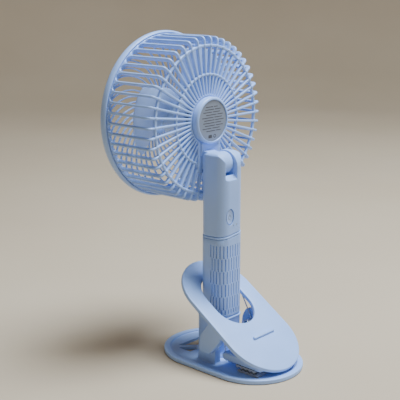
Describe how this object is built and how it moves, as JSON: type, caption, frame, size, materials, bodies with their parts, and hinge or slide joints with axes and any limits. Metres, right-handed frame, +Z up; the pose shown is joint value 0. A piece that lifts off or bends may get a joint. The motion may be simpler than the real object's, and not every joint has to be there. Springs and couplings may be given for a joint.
{
  "type": "desk fan",
  "caption": "Caged desk fan on an upright handle that stands in a spring clip base, with a tilting head, a spinning impeller and an oval power key.",
  "frame": {"origin": "centre of the base's underside, straight below the handle's axis", "axes": "+Z up along the handle, +Y towards the clip's mouth and the rear of the fan head, -Y the way the fan blows, +X to the right when looking along +Y"},
  "size_m": [0.1384, 0.1487, 0.2652],
  "materials": {
    "shell_plastic": "fine satin moulding, pale blue-white",
    "grey_rubber": "matte moulded rubber, ridged",
    "black_plastic": "matte moulded",
    "bright_steel": "bright drawn steel",
    "grey_label": "printed film, warm grey",
    "green_board": "solder-masked glass laminate",
    "blue_wrap": "metal can in a shrunk blue film",
    "copper_winding": "enamelled copper wire",
    "brass_sleeve": "sintered sleeve",
    "light_lens": "clear light pipe"
  },
  "bodies": {
    "base": {"base_plate": "shell_plastic", "handle_socket": "shell_plastic", "clip_pin_1": "bright_steel", "clip_pin_2": "bright_steel", "clip_spring_1": "bright_steel", "clip_spring_2": "bright_steel", "lower_pad": "grey_rubber"},
    "lever": {"clip_lever": "shell_plastic", "upper_pad": "grey_rubber"},
    "handle": {"grip": "shell_plastic", "foot_plug": "shell_plastic", "seam_band": "shell_plastic", "upper_shell": "shell_plastic", "battery_cell": "blue_wrap", "battery_contact": "bright_steel", "control_board": "green_board", "control_switch": "black_plastic", "charge_port": "bright_steel", "light_1": "light_lens", "light_2": "light_lens", "tilt_pin": "bright_steel"},
    "button": {"power_button": "shell_plastic"},
    "head": {"rear_guard": "shell_plastic", "front_cover": "shell_plastic", "front_badge": "shell_plastic", "motor_cover": "shell_plastic", "rear_label": "grey_label", "neck_bracket": "shell_plastic", "motor_mount": "shell_plastic", "motor_stator": "copper_winding", "shaft_bearing": "brass_sleeve", "neck_screw_1": "bright_steel", "neck_screw_2": "bright_steel"},
    "rotor": {"impeller": "shell_plastic", "rotor_can": "bright_steel", "motor_shaft": "bright_steel"}
  },
  "joints": [
    {"name": "handle_lift", "type": "slide", "parent": "base", "child": "handle", "axis": [0, 0, 1], "range_m": [0, 0.02]},
    {"name": "clip_open", "type": "hinge", "parent": "base", "child": "lever", "pos_m": [0, 0.014, 0.024], "axis": [1, 0, 0], "range_deg": [0, 20], "stiffness_Nm_per_rad": 0.6, "springref_deg": -20.05, "deforming": ["clip_spring_1", "clip_spring_2"]},
    {"name": "head_tilt", "type": "hinge", "parent": "handle", "child": "head", "pos_m": [0, 0, 0.163], "axis": [-1, 0, 0], "range_deg": [0, 100]},
    {"name": "impeller_spin", "type": "hinge", "parent": "head", "child": "rotor", "pos_m": [0, -0.035, 0.196], "axis": [0, 1, 0], "continuous": true},
    {"name": "power_press", "type": "slide", "parent": "handle", "child": "button", "axis": [0, -1, 0], "range_m": [0, 0.0008], "stiffness_N_per_m": 400, "springref_m": -0.0005}
  ]
}
